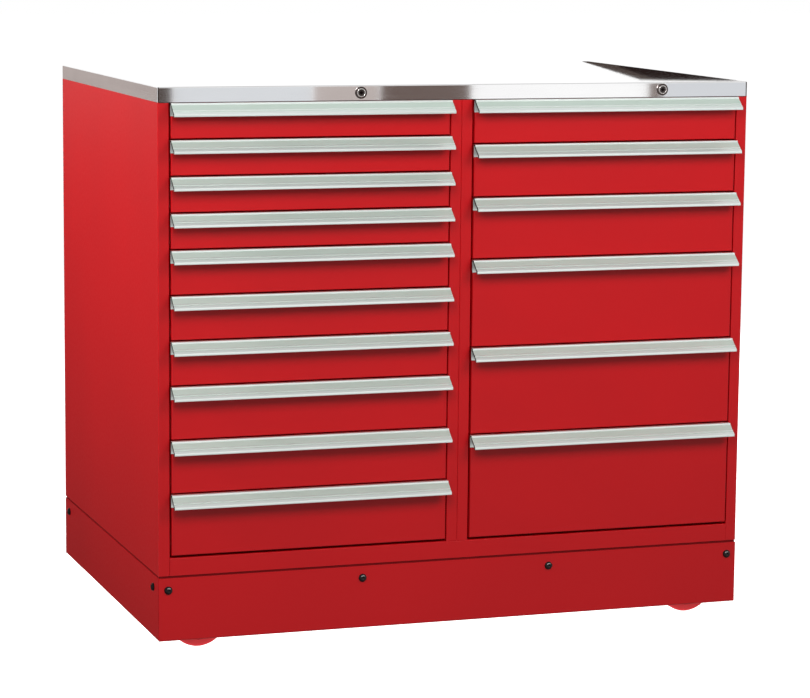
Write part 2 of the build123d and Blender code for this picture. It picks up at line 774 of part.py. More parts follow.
def caster_wheel(axle_x, axle_y):
    """A wheel: a polyurethane tread with round shoulders on a hub with a recessed web."""
    lying = Location((axle_x, axle_y, wheel_radius), (90, 0, 0))
    hub_radius = wheel_radius - tread_thickness
    with BuildPart() as tread:
        with Locations(lying):
            Cylinder(wheel_radius, wheel_width)
        fillet(tread.edges().filter_by(GeomType.CIRCLE), radius=tread_shoulder)
        with Locations(lying):
            Cylinder(hub_radius, 2 * wheel_width, mode=Mode.SUBTRACT)
    with BuildPart() as hub:
        with Locations(lying):
            Cylinder(hub_radius, wheel_width - 2 * hub_inset)
        for side_y in (axle_y - wheel_width / 2 + hub_inset, axle_y + wheel_width / 2 - hub_inset):
            with BuildSketch(Plane.XZ.offset(-side_y)):
                with Locations((axle_x, wheel_radius)):
                    Circle(hub_radius - hub_rim)
                    Circle(hub_boss_radius, mode=Mode.SUBTRACT)
            extrude(amount=hub_recess, both=True, mode=Mode.SUBTRACT)
        with Locations(lying):
            Cylinder(hub_boss_radius, fork_gap - 2 * hub_inset)
            Cylinder(axle_radius + axle_clearance, 2 * wheel_width, mode=Mode.SUBTRACT)
    return [tread.part, hub.part]


# Wheels
for end_name, centre_y in caster_ys:
    save(caster_wheel(-channel_x, centre_y), f"left_{end_name}_wheel")
    save(caster_wheel(channel_x + swivel_trail, centre_y), f"right_{end_name}_wheel")
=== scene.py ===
import math

import bmesh
import bpy
from mathutils import Euler, Matrix, Vector


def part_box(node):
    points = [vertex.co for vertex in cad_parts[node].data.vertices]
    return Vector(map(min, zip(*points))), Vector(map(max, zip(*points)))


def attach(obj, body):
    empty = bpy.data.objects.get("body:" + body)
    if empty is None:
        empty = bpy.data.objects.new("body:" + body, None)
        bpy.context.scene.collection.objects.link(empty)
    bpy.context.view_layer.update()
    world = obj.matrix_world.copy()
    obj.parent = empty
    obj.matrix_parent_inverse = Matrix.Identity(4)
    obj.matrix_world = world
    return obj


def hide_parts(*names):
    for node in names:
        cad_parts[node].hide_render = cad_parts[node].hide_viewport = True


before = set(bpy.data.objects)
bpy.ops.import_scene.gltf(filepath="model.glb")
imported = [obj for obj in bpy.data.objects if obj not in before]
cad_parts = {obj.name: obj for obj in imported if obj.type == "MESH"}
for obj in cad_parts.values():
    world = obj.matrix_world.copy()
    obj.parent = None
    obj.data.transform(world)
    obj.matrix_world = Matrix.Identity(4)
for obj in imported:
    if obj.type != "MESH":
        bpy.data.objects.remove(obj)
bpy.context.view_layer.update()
scene = bpy.context.scene
scene.view_settings.view_transform = "Standard"


# Camera
# A long lens at about eye height, to the left of the cabinet, so that its left side shows as a narrow strip
# beside the front. Its place and its angles are fitted to the photograph.
picture_width = 810
focal_pixels = 2924.0
camera_place = Vector((-2.123, -6.289, 1.549))
camera_yaw = 18.88
camera_pitch = 8.35
camera_roll = 0.55
camera = bpy.data.objects.new("camera", bpy.data.cameras.new("camera"))
camera.data.lens = camera.data.sensor_width * focal_pixels / picture_width
camera.location = camera_place
level_look = Euler((math.radians(90 - camera_pitch), 0, math.radians(-camera_yaw))).to_matrix()
tilt = Euler((0, 0, math.radians(camera_roll))).to_matrix()
camera.rotation_euler = (level_look @ tilt).to_euler()
scene.collection.objects.link(camera)
scene.camera = camera


# Housing, skirt and drawers
# Folded sheet steel, spot welded and then powder coated in one signal red. The coat is semi-gloss with a
# faint orange peel, so a highlight on it has a soft, slightly restless edge.
mm = 0.001
powder_red = "#D00712"
powder_red_deep = "#BE0610"
colour_drift_size = 450 * mm
peel_size = 7 * mm
peel_height = 0.05 * mm


def linear(code):
    """Turn an sRGB hex colour into the linear values that a shader takes."""
    channels = [int(code[place:place + 2], 16) / 255 for place in (1, 3, 5)]
    return [c / 12.92 if c <= 0.04045 else ((c + 0.055) / 1.055) ** 2.4 for c in channels] + [1.0]


def start_material(name, **constants):
    """A material's tree and shader, with the values that are the same all over its surface."""
    material = bpy.data.materials.new(name)
    material.use_nodes = True
    shader = material.node_tree.nodes["Principled BSDF"]
    for socket, value in constants.items():
        shader.inputs[socket.replace("_", " ")].default_value = value
    return material, material.node_tree, shader


def add(tree, kind, values=(), links=(), **settings):
    """Add a shader node with its settings, its socket values and the sockets that feed it."""
    made = tree.nodes.new(kind)
    for name, value in settings.items():
        setattr(made, name, value)
    for socket, value in dict(values).items():
        made.inputs[socket].default_value = value
    for socket, source in dict(links).items():
        tree.links.new(source, made.inputs[socket])
    return made


def lay_finish(tree, shader, tone, colours, grain, roughness, relief=None):
    """Drift the colour by one pattern, and the roughness and any relief (strength, height) by another."""
    colour = add(tree, "ShaderNodeMix", {"A": linear(colours[0]), "B": linear(colours[1])},
                 {"Factor": tone}, data_type="RGBA")
    gloss = add(tree, "ShaderNodeMapRange", {"To Min": roughness[0], "To Max": roughness[1]},
                {"Value": grain})
    tree.links.new(colour.outputs["Result"], shader.inputs["Base Color"])
    tree.links.new(gloss.outputs["Result"], shader.inputs["Roughness"])
    if relief:
        bump = add(tree, "ShaderNodeBump", {"Strength": relief[0], "Distance": relief[1]}, {"Height": grain})
        tree.links.new(bump.outputs["Normal"], shader.inputs["Normal"])


def powder_coat():
    """Powder coat over steel: a slow drift of colour, and an orange peel drawn 3 times too coarse."""
    material, tree, shader = start_material("signal_red_powder_coat", IOR=1.5, Specular_IOR_Level=0.32)
    place = add(tree, "ShaderNodeTexCoord").outputs["Object"]
    drift = add(tree, "ShaderNodeTexNoise", {"Scale": 1 / colour_drift_size, "Detail": 3.0},
                {"Vector": place})
    peel = add(tree, "ShaderNodeTexNoise", {"Scale": 1 / peel_size, "Detail": 2.0}, {"Vector": place})
    lay_finish(tree, shader, drift.outputs["Fac"], (powder_red, powder_red_deep), peel.outputs["Fac"],
               (0.34, 0.46), (0.6, peel_height))
    return material


def dress(material, slot, *nodes):
    """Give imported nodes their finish."""
    for node in nodes:
        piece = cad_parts[node]
        piece.data.materials.clear()
        piece.data.materials.append(material)


drawers = sorted(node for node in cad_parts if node.startswith("drawer_"))
dress(powder_coat(), "red powder coat", "left_side_panel", "right_side_panel", "bottom_pan", "back_panel",
      "top_pan", "centre_divider", "front_skirt", "rear_skirt", "left_skirt", "right_skirt", *drawers)


# Base frame
# Flat bar and folded channel, welded, and brushed with a dark oxide chassis paint before the skirt goes on.
# Its darkness is painted shade, in place of the shade in the open joints round the skirt, so they look dark.
brush_mark_size = 24 * mm
brush_mark_height = 0.1 * mm


def chassis_paint():
    """Satin paint, black with red oxide in it, with brush marks 12 mm long drawn 2 times too coarse."""
    material, tree, shader = start_material("dark_chassis_paint_painted_joint_shade", IOR=1.5, Specular_IOR_Level=0.08)
    place = add(tree, "ShaderNodeTexCoord").outputs["Object"]
    marks = add(tree, "ShaderNodeTexNoise", {"Scale": 1 / brush_mark_size, "Detail": 4.0},
                {"Vector": place}).outputs["Fac"]
    lay_finish(tree, shader, marks, ("#6C1012", "#80161A"), marks, (0.45, 0.65), (0.3, brush_mark_height))
    return material


frame_paint = chassis_paint()
dress(frame_paint, "black paint", "base_frame")


# Slides, lock bars and caster forks
# Pressed steel with bright zinc plate, which has a fine spangle and a cool, slightly cloudy shine. The rails
# are fixed between the stiles and the rear uprights, and the forks under the base frame.
spangle_size = 6 * mm


def zinc_plate():
    """Bright zinc: a 6 mm spangle of slightly different greys and gloss."""
    material, tree, shader = start_material("bright_zinc_plate", Metallic=1.0)
    place = add(tree, "ShaderNodeTexCoord").outputs["Object"]
    spangle = add(tree, "ShaderNodeTexVoronoi", {"Scale": 1 / spangle_size}, {"Vector": place})
    lay_finish(tree, shader, spangle.outputs["Color"], ("#9FA3A7", "#B9BCBF"), spangle.outputs["Distance"],
               (0.28, 0.42))
    return material


dress(zinc_plate(), "zinc plated steel", "slide_rails", "left_lock_bar", "right_lock_bar",
      "rigid_caster_forks", "swivel_caster_plates", "front_swivel_fork", "rear_swivel_fork")


# Wheels
# A deep red polyurethane tread, cast onto a hub of black-painted cast iron that has a ring of ribs between
# its rim and its boss. The wheel turns on an axle through its fork.
patch_size = 20 * mm
scuff_height = 0.1 * mm
sand_size = 3 * mm
sand_height = 0.2 * mm
tread_thickness = 16 * mm
tread_width = 50 * mm
tread_steps = 96
tread_shoulder = ((7.0, 0.0), (3.2, 1.2), (1.0, 3.6), (0.0, 7.0))  # mm below the tread, mm in from its side
tread_seam = ((0.0, 1.2), (0.5, 0.6), (0.5, 0.0))  # mm below the tread, mm from its middle
hub_bore = 6.2 * mm
hub_boss = 17 * mm
hub_web = 10 * mm
hub_rim = 5 * mm
hub_inset = 2 * mm
hub_steps = 64
hub_edge = 0.6 * mm
rib_count = 8
rib_thickness = 4 * mm
rib_inset = 3 * mm
rib_bite = 1 * mm
rib_faces = ((0, 1, 3, 2), (4, 6, 7, 5), (0, 4, 5, 1), (2, 3, 7, 6), (0, 2, 6, 4), (1, 5, 7, 3))
sharp_angle = math.radians(38)


def red_polyurethane():
    """Cast polyurethane: satin, and a little darker and scuffed in patches."""
    material, tree, shader = start_material("red_polyurethane", IOR=1.5)
    place = add(tree, "ShaderNodeTexCoord").outputs["Object"]
    patch = add(tree, "ShaderNodeTexNoise", {"Scale": 1 / patch_size, "Detail": 4.0},
                {"Vector": place}).outputs["Fac"]
    lay_finish(tree, shader, patch, ("#F5202B", "#E01824"), patch, (0.35, 0.6), (0.3, scuff_height))
    return material


def hub_iron():
    """Cast iron in black paint: a sandy skin, with grains of 1.5 mm drawn 2 times too coarse."""
    material, tree, shader = start_material("black_cast_iron", Specular_IOR_Level=0.35)
    place = add(tree, "ShaderNodeTexCoord").outputs["Object"]
    sand = add(tree, "ShaderNodeTexNoise", {"Scale": 1 / sand_size, "Detail": 3.0},
               {"Vector": place}).outputs["Fac"]
    lay_finish(tree, shader, sand, ("#151314", "#262223"), sand, (0.5, 0.7), (0.4, sand_height))
    return material


def join_rings(shape, ring, following):
    """Lay a band of faces between two like rings of corners."""
    for number in range(len(ring)):
        after = (number + 1) % len(ring)
        shape.faces.new((ring[number], ring[after], following[after], following[number]))


def lathe(profile, centre, steps):
    """A shape turned about a line along Y through a centre. The closed profile gives (radius, y)."""
    shape = bmesh.new()
    rings = []
    for step in range(steps):
        angle = 2 * math.pi * step / steps
        rings.append([shape.verts.new((centre[0] + radius * math.cos(angle), centre[1] + y,
                                       centre[2] + radius * math.sin(angle))) for radius, y in profile])
    for step in range(steps):
        join_rings(shape, rings[step], rings[(step + 1) % steps])
    return shape


def finish_mesh(name, shape, smooth=False):
    """Turn a shape's faces outward and make its mesh, shaded smooth between sharp edges if asked."""
    bmesh.ops.recalc_face_normals(shape, faces=shape.faces)
    mesh = bpy.data.meshes.new(name)
    shape.to_mesh(mesh)
    shape.free()
    if smooth:
        mesh.shade_smooth()
        mesh.set_sharp_from_angle(angle=sharp_angle)
    return mesh


def link(name, mesh, body, slot, *materials):
    """Put a finished mesh into the scene and tie it to its body."""
    for material in materials:
        mesh.materials.append(material)
    piece = bpy.data.objects.new(name, mesh)
    scene.collection.objects.link(piece)
    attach(piece, body)
    return piece


def soften(piece, width, segments=2):
    """Break a piece's sharp edges, as a file or a tumbler leaves them."""
    bevel = piece.modifiers.new("broken_edges", "BEVEL")
    bevel.width = width
    bevel.segments = segments
    bevel.limit_method = "ANGLE"
    bevel.angle_limit = sharp_angle
    bevel.harden_normals = True


tread_skin, hub_skin = red_polyurethane(), hub_iron()
for end in ("front", "rear"):
    for side in ("left", "right"):
        wheel = f"{side}_{end}_wheel"
        wheel_low, wheel_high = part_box(wheel)
        centre = (wheel_low + wheel_high) / 2
        reach, half = (wheel_high.z - wheel_low.z) / 2, tread_width / 2
        inner = reach - tread_thickness
        tread_side = [(inner, half)]
        tread_side += [(reach - below * mm, half - inward * mm) for below, inward in tread_shoulder]
        tread_side += [(reach - below * mm, outward * mm) for below, outward in tread_seam]
        tread_profile = tread_side + [(radius, -y) for radius, y in reversed(tread_side[:-1])]
        tread_mesh = finish_mesh(wheel + "_tread", lathe(tread_profile, centre, tread_steps), smooth=True)
        tread = link(wheel + "_tread", tread_mesh, wheel, "red polyurethane", tread_skin)
        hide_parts(wheel)
        hub_half = half - hub_inset
        hub_side = [(hub_bore, half), (hub_boss, half), (hub_boss, hub_web / 2),
                    (inner - hub_rim, hub_web / 2), (inner - hub_rim, hub_half), (inner, hub_half)]
        hub_profile = hub_side + [(radius, -y) for radius, y in reversed(hub_side)]
        hub_shape = lathe(hub_profile, centre, hub_steps)
        rib_low, rib_high = hub_boss - rib_bite, inner - hub_rim + rib_bite
        rib_half = hub_half - rib_inset
        for rib in range(rib_count):
            turn = Matrix.Translation(centre) @ Matrix.Rotation(2 * math.pi * rib / rib_count, 4, "Y")
            corners = [hub_shape.verts.new(turn @ Vector((x, y, z))) for x in (rib_low, rib_high)
                       for y in (-rib_half, rib_half) for z in (-rib_thickness / 2, rib_thickness / 2)]
            for face in rib_faces:
                hub_shape.faces.new([corners[number] for number in face])
        hub_mesh = finish_mesh(wheel + "_hub", hub_shape, smooth=True)
        hub = link(wheel + "_hub", hub_mesh, wheel, "black paint", hub_skin)
        soften(hub, hub_edge)


# Skirt corners
# An angle of folded steel stands inside each corner of the skirt, below the base frame's bar, and closes the
# open joint between two skirt panels from behind. It is painted like the base frame, whose dark paint shows
# in the seam as painted shade.
front_low, front_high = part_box("front_skirt")
rear_low, rear_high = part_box("rear_skirt")
skirt_sheet = 2.0 * mm
angle_leg = 20 * mm
angle_sheet = 1.5 * mm
angle_bend = 2.0 * mm
angle_inner_bend = 0.5 * mm
angle_foot_gap = 2.4 * mm
angle_head_drop = 56.2 * mm
strip_corner_steps = 3
x_axis, z_axis = 0, 2


def round_corners(corners, steps):
    """An outline whose corners, given as (a, b, radius), are rounded."""
    outline = []
    for index, (a, b, radius) in enumerate(corners):
        here = Vector((a, b))
        before = (Vector(corners[index - 1][:2]) - here).normalized()
        after = (Vector(corners[(index + 1) % len(corners)][:2]) - here).normalized()
        if radius <= 0:
            outline.append(here)
            continue
        half = before.angle(after) / 2
        centre = here + (before + after).normalized() * radius / math.sin(half)
        start = here + before * radius / math.tan(half) - centre
        finish = here + after * radius / math.tan(half) - centre
        sweep = start.angle_signed(finish)
        for step in range(steps + 1):
            outline.append(centre + Matrix.Rotation(-sweep * step / steps, 2) @ start)
    return outline


def prism(outlines):
    """A shape between two like outlines, given as points in space."""
    shape = bmesh.new()
    near, far = [[shape.verts.new(point) for point in outline] for outline in outlines]
    join_rings(shape, near, far)
    for end in (near, far):
        shape.faces.new(end)
    return shape


def strip_mesh(name, corners, start, finish, along):
    """A strip that runs along X or Z, with a section of rounded corners given as (a, b, radius)."""
    outlines = []
    for reach in (start, finish):
        outline = [[point.x, point.y] for point in round_corners(corners, strip_corner_steps)]
        for place in outline:
            place.insert(along, reach)
        outlines.append(outline)
    return finish_mesh(name, prism(outlines))


angle_corners = ((0, 0, angle_bend), (angle_leg, 0, 0), (angle_leg, angle_sheet, 0),
                 (angle_sheet, angle_sheet, angle_inner_bend), (angle_sheet, angle_leg, 0), (0, angle_leg, 0))
for end, corner_y, inward_y in (("front", front_low.y, 1), ("rear", rear_high.y, -1)):
    for side, corner_x, inward_x in (("left", front_low.x, 1), ("right", front_high.x, -1)):
        angle_section = [(corner_x + inward_x * (skirt_sheet + a),
                          corner_y + inward_y * (skirt_sheet + b), radius) for a, b, radius in angle_corners]
        angle_name = f"{end}_{side}_skirt_angle"
        angle_mesh = strip_mesh(angle_name, angle_section, front_low.z + angle_foot_gap,
                                front_high.z - angle_head_drop, z_axis)
        link(angle_name, angle_mesh, "cabinet", "black paint", frame_paint)


# Screws
# Button-head socket screws of blackened steel, which hold the skirt to the base frame. The black oxide is
# thin and lightly oiled, so the domes are nearly black with one small, sharp highlight.
oil_size = 4 * mm


def black_oxide():
    """Black oxide on steel: dark and oily, a little browner where the oil is thin."""
    material, tree, shader = start_material("black_oxide_steel", Specular_IOR_Level=0.1)
    place = add(tree, "ShaderNodeTexCoord").outputs["Object"]
    oil = add(tree, "ShaderNodeTexNoise", {"Scale": 1 / oil_size, "Detail": 2.0},
              {"Vector": place}).outputs["Fac"]
    lay_finish(tree, shader, oil, ("#030202", "#0A0808"), oil, (0.14, 0.2))
    return material


dress(black_oxide(), "black oxide steel", "skirt_screws")


# Drawer pulls
# An extruded aluminium bar along the top of each drawer front, satin anodised and sawn to length. From a
# small lip its grip slopes out and down to a nose, with a sunk band, a bead and a groove.
pull_low, pull_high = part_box("pull_left_01")
pull_height = pull_high.z - pull_low.z
pull_reach = pull_high.y - pull_low.y
pull_top = 11 * mm
pull_lip = 2.6 * mm
pull_wall = 2.2 * mm
pull_nose = 5 * mm
pull_curl = 5 * mm
pull_spare_wall = 1.7 * mm  # extra wall behind the grip's groove
pull_edge = 0.2 * mm
lip_bend, lip_foot_bend = 0.8 * mm, 0.4 * mm
nose_bend, toe_bend, curl_bend = 1.2 * mm, 1.0 * mm, 0.6 * mm
nose_inner_bend, inner_bend = 0.8 * mm, 0.3 * mm
band_sink = 0.5 * mm
groove_depth = 1.0 * mm
band_start, band_end, bead_end, groove_end = 0.02, 0.56, 0.64, 0.74  # shares of the way down the grip
edge_share = 0.012  # the slanted edge of the band and of the groove
pull_corner_steps = 5
end_facing, slant_facing = 0.9, 0.3  # how far a face's normal has to point that way
die_line_size = 8 * mm
cloud_size = 160 * mm
saw_mark = 1 * mm
wave_radians = 20  # in one unit of Blender's wave texture, so the sizes given to it are one radian long
grip_top = Vector((pull_top, pull_lip))
grip_run = Vector((pull_reach - pull_top, pull_height - pull_nose - pull_lip))
grip_slant = math.atan2(grip_run.y, grip_run.x)
grip_wall = (pull_wall + groove_depth + pull_spare_wall) / math.sin(grip_slant)


def grip_point(share, sink):
    """A point of the sloping grip, a share of the way down it and sunk below its face."""
    inward = Vector((-grip_run.y, grip_run.x)).normalized()
    point = grip_top + grip_run * share + inward * sink
    return (point.x, point.y, 0)


pull_outline = round_corners([
    (0, pull_height, 0), (0, 0, 0), (pull_top, 0, lip_bend), (pull_top, pull_lip, lip_foot_bend),
    grip_point(band_start, 0), grip_point(band_start + edge_share, band_sink),
    grip_point(band_end - edge_share, band_sink), grip_point(band_end, 0),
    grip_point(bead_end, 0), grip_point(bead_end + edge_share, groove_depth),
    grip_point(groove_end - edge_share, groove_depth), grip_point(groove_end, 0),
    (pull_reach, pull_height - pull_nose, nose_bend), (pull_reach, pull_height, toe_bend),
    (pull_reach - pull_curl, pull_height, curl_bend), (pull_reach - pull_curl, pull_height - pull_wall, 0),
    (pull_reach - grip_wall, pull_height - pull_nose, nose_inner_bend),
    (pull_top - grip_wall - (pull_lip - pull_wall) / math.tan(grip_slant), pull_wall, inner_bend),
    (pull_wall, pull_wall, inner_bend), (pull_wall, pull_height, 0),
], pull_corner_steps)


def pull_bar_mesh(name, length):
    """A pull that lies along X from the origin: metal 1 on its ends and its inside, metal 2 in its bands,
    both painted shade.
    """
    shape = prism([[(x, -out, -down) for out, down in pull_outline] for x in (0, length)])
    bmesh.ops.recalc_face_normals(shape, faces=shape.faces)
    for face in shape.faces:
        centre = face.calc_center_median()
        share = (Vector((-centre.y, -centre.z)) - grip_top).dot(grip_run) / grip_run.length_squared
        is_end = abs(face.normal.x) > end_facing
        is_inside = face.normal.y > slant_facing and face.normal.z < -slant_facing
        is_grip = face.normal.y < -slant_facing and face.normal.z > slant_facing
        if is_end or is_inside:
            face.material_index = 1
        elif is_grip and (band_start < share < band_end or bead_end < share < groove_end):
            face.material_index = 2
    return finish_mesh(name, shape, smooth=True)


def anodised_aluminium(name, colours, metallic, roughness):
    """Anodised extrusion: pale and cool, with fine die lines along X drawn 20 times too coarse."""
    material, tree, shader = start_material(name, Metallic=metallic)
    place = add(tree, "ShaderNodeTexCoord").outputs["Object"]
    stretch = add(tree, "ShaderNodeMapping", {"Scale": (0.0, 1 / die_line_size, 1 / die_line_size)},
                  {"Vector": place})
    lines = add(tree, "ShaderNodeTexNoise", {"Scale": 1.0, "Detail": 2.0},
                {"Vector": stretch.outputs["Vector"]})
    cloud = add(tree, "ShaderNodeTexNoise", {"Scale": 1 / cloud_size, "Detail": 2.0}, {"Vector": place})
    lay_finish(tree, shader, cloud.outputs["Fac"], colours, lines.outputs["Fac"], roughness)
    return material


def dark_sawn_ends_painted_shade():
    """The sawn ends and the grip's inside: rough, with 1 mm saw marks drawn 9 times too coarse, and dark as
    painted shade.
    """
    material, tree, shader = start_material("sawn_ends_and_inside_painted_shade", Specular_IOR_Level=0.1)
    place = add(tree, "ShaderNodeTexCoord").outputs["Object"]
    marks = add(tree, "ShaderNodeTexWave", {"Scale": 1 / saw_mark / wave_radians, "Distortion": 0.5},
                {"Vector": place}, bands_direction="DIAGONAL").outputs["Fac"]
    lay_finish(tree, shader, marks, ("#101C1A", "#1E2B29"), marks, (0.45, 0.6))
    return material


# Metal 2 is a darker copy of the anodised aluminium: painted shade on the sunk band and in the groove
pull_metals = (anodised_aluminium("satin_anodised_aluminium", ("#F0F6F3", "#E6EFEA"), 0.55, (0.26, 0.32)),
               dark_sawn_ends_painted_shade(),
               anodised_aluminium("matt_anodised_band_painted_shade", ("#D2E1D8", "#C7D7CC"), 0.3, (0.4, 0.48)))
for drawer in drawers:
    pull_node = drawer.replace("drawer", "pull")
    low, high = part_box(pull_node)
    pull_mesh = pull_bar_mesh(pull_node + "_bar", high.x - low.x)
    pull_mesh.transform(Matrix.Translation((low.x, high.y, high.z)))
    pull = link(pull_node + "_bar", pull_mesh, drawer, "anodised aluminium", *pull_metals)
    soften(pull, pull_edge)
    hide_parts(pull_node)


# Worktop
# A folded stainless skin over a plywood board, bedded on a rubber strip, whose black front is painted shade
# for the shadow line under the worktop's edge. It is brushed along its length, so its reflections are drawn
# out across the grain, and its corners are ground smooth after welding.
grit_size, grit_length = 2 * mm, 220 * mm
grit_height = 0.004 * mm
wipe_size, wipe_length = 60 * mm, 300 * mm
weld_ripple = 2 * mm
bloom_size = 15 * mm
ply_pitch = 3 * mm
top_low, top_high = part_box("stainless_top")
weld_width = 2.4 * mm
weld_proud = 0.25 * mm
weld_inset = 1.0 * mm
weld_round = 0.2 * mm
weld_head_gap = 1.2 * mm
seal_height = 1.3 * mm
seal_depth = 2.0 * mm
seal_proud = 0.4 * mm
seal_end_gap = 3.0 * mm
seal_round = 0.3 * mm


def brushed_stainless():
    """Stainless steel, brushed along X, and finer on top. The 0.2 mm grit is drawn 10 times too coarse."""
    material, tree, shader = start_material("brushed_stainless_steel", Metallic=1.0, Anisotropic=0.85)
    place = add(tree, "ShaderNodeTexCoord").outputs["Object"]
    along_grit = add(tree, "ShaderNodeMapping", {"Scale": (1 / grit_length, 1 / grit_size, 1 / grit_size)},
                     {"Vector": place})
    grit = add(tree, "ShaderNodeTexNoise", {"Scale": 1.0, "Detail": 3.0},
               {"Vector": along_grit.outputs["Vector"]}).outputs["Fac"]
    along_wipe = add(tree, "ShaderNodeMapping", {"Scale": (1 / wipe_length, 1 / wipe_size, 1 / wipe_size)},
                     {"Vector": place})
    wipe = add(tree, "ShaderNodeTexNoise", {"Scale": 1.0, "Detail": 3.0},
               {"Vector": along_wipe.outputs["Vector"]}).outputs["Fac"]
    colour = add(tree, "ShaderNodeMix", {"A": linear("#F1F0F1"), "B": linear("#FFFFFF")}, {"Factor": wipe},
                 data_type="RGBA")
    edge_gloss = add(tree, "ShaderNodeMapRange", {"To Min": 0.07, "To Max": 0.13}, {"Value": grit})
    top_gloss = add(tree, "ShaderNodeMapRange", {"To Min": 0.015, "To Max": 0.035}, {"Value": wipe})
    normal = add(tree, "ShaderNodeNewGeometry").outputs["Normal"]
    facing = add(tree, "ShaderNodeSeparateXYZ", (), {"Vector": normal})
    upward = add(tree, "ShaderNodeMapRange", {"From Min": 0.9, "From Max": 0.99},
                 {"Value": facing.outputs["Z"]})
    gloss = add(tree, "ShaderNodeMix", (), {"Factor": upward.outputs["Result"],
                                            "A": edge_gloss.outputs["Result"],
                                            "B": top_gloss.outputs["Result"]})
    bump = add(tree, "ShaderNodeBump", {"Strength": 0.1, "Distance": grit_height}, {"Height": grit})
    grain = add(tree, "ShaderNodeTangent", direction_type="RADIAL", axis="X")
    tree.links.new(colour.outputs["Result"], shader.inputs["Base Color"])
    tree.links.new(gloss.outputs["Result"], shader.inputs["Roughness"])
    tree.links.new(bump.outputs["Normal"], shader.inputs["Normal"])
    tree.links.new(grain.outputs["Tangent"], shader.inputs["Tangent"])
    return material


def weld_steel():
    """The ground weld at a corner: blued, with its ripple every 2 mm drawn 6 times too coarse."""
    material, tree, shader = start_material("ground_weld", Metallic=1.0)
    place = add(tree, "ShaderNodeTexCoord").outputs["Object"]
    ripple = add(tree, "ShaderNodeTexWave", {"Scale": 1 / weld_ripple / wave_radians, "Distortion": 1.0},
                 {"Vector": place}, bands_direction="Z").outputs["Fac"]
    lay_finish(tree, shader, ripple, ("#2B2422", "#4A403C"), ripple, (0.3, 0.5))
    return material


def seal_rubber_painted_shade():
    """The black rubber strip that the worktop is bedded on, with a faint bloom; its black is painted shade.
    """
    material, tree, shader = start_material("black_sealing_strip_painted_shade", Specular_IOR_Level=0.2)
    place = add(tree, "ShaderNodeTexCoord").outputs["Object"]
    bloom = add(tree, "ShaderNodeTexNoise", {"Scale": 1 / bloom_size, "Detail": 3.0},
                {"Vector": place}).outputs["Fac"]
    lay_finish(tree, shader, bloom, ("#1A1415", "#2C2425"), bloom, (0.7, 0.9))
    return material


def plywood():
    """Birch plywood, seen from below and in the lock pockets. Its 3 mm plies are drawn 6 times too coarse."""
    material, tree, shader = start_material("birch_plywood", IOR=1.45, Roughness=0.6)
    place = add(tree, "ShaderNodeTexCoord").outputs["Object"]
    plies = add(tree, "ShaderNodeTexWave", {"Scale": 1 / ply_pitch / wave_radians, "Distortion": 0.6},
                {"Vector": place}, bands_direction="Z")
    colour = add(tree, "ShaderNodeMix", {"A": linear("#C79F6B"), "B": linear("#A67B4A")},
                 {"Factor": plies.outputs["Fac"]}, data_type="RGBA")
    tree.links.new(colour.outputs["Result"], shader.inputs["Base Color"])
    return material


def rounded_bar(low_a, high_a, low_b, high_b, radius):
    """The corners of a bar's section, from its four sides."""
    return [(low_a, low_b, radius), (high_a, low_b, radius), (high_a, high_b, radius),
            (low_a, high_b, radius)]


dress(brushed_stainless(), "brushed stainless steel", "stainless_top")
dress(plywood(), "wood board", "worktop_core")
corner_weld = weld_steel()
for side, low_x in (("left", top_low.x + weld_inset), ("right", top_high.x - weld_inset - weld_width)):
    weld_section = rounded_bar(low_x, low_x + weld_width, top_low.y - weld_proud, top_low.y + weld_proud,
                               weld_round)
    weld_mesh = strip_mesh(side + "_corner_weld", weld_section, top_low.z, top_high.z - weld_head_gap, z_axis)
    link(side + "_corner_weld", weld_mesh, "cabinet", "brushed stainless steel", corner_weld)
# The strip's black front is painted shade: the shadow line under the worktop's front edge
seal_near = top_low.y - seal_proud
seal_section = rounded_bar(seal_near, seal_near + seal_depth, top_low.z - seal_height, top_low.z, seal_round)
seal_mesh = strip_mesh("worktop_seal_painted_shadow_line", seal_section, top_low.x + seal_end_gap,
                       top_high.x - seal_end_gap, x_axis)
link("worktop_seal_painted_shadow_line", seal_mesh, "cabinet", "black paint", seal_rubber_painted_shade())


# Locks
# Nickel-plated cam locks in the worktop's front edge. A domed ring lies on the bezel, the ring painted bright
# and the bezel and the plug dark as painted reflection. The plug has an almond shaped recess round the
# keyway, which a near black almond sheet paints as shade.
haze_size = 6 * mm
ring_profile = [(6.7 * mm, 0), (7.0 * mm, -0.9 * mm), (7.5 * mm, -1.5 * mm), (8.2 * mm, -1.7 * mm),
                (8.9 * mm, -1.5 * mm), (9.5 * mm, -0.8 * mm), (9.8 * mm, 0)]
ring_steps = 48
recess_reach = 5.2 * mm
recess_rise = 2.9 * mm
recess_proud = 0.35 * mm
almond_steps = 24


def plated(name, colours, roughness):
    """Nickel plate with a faint haze of fingerprints, in a lighter or darker copy as painted reflection and
    shade.
    """
    material, tree, shader = start_material(name, Metallic=1.0)
    place = add(tree, "ShaderNodeTexCoord").outputs["Object"]
    haze = add(tree, "ShaderNodeTexNoise", {"Scale": 1 / haze_size, "Detail": 3.0},
               {"Vector": place}).outputs["Fac"]
    lay_finish(tree, shader, haze, colours, haze, roughness)
    return material
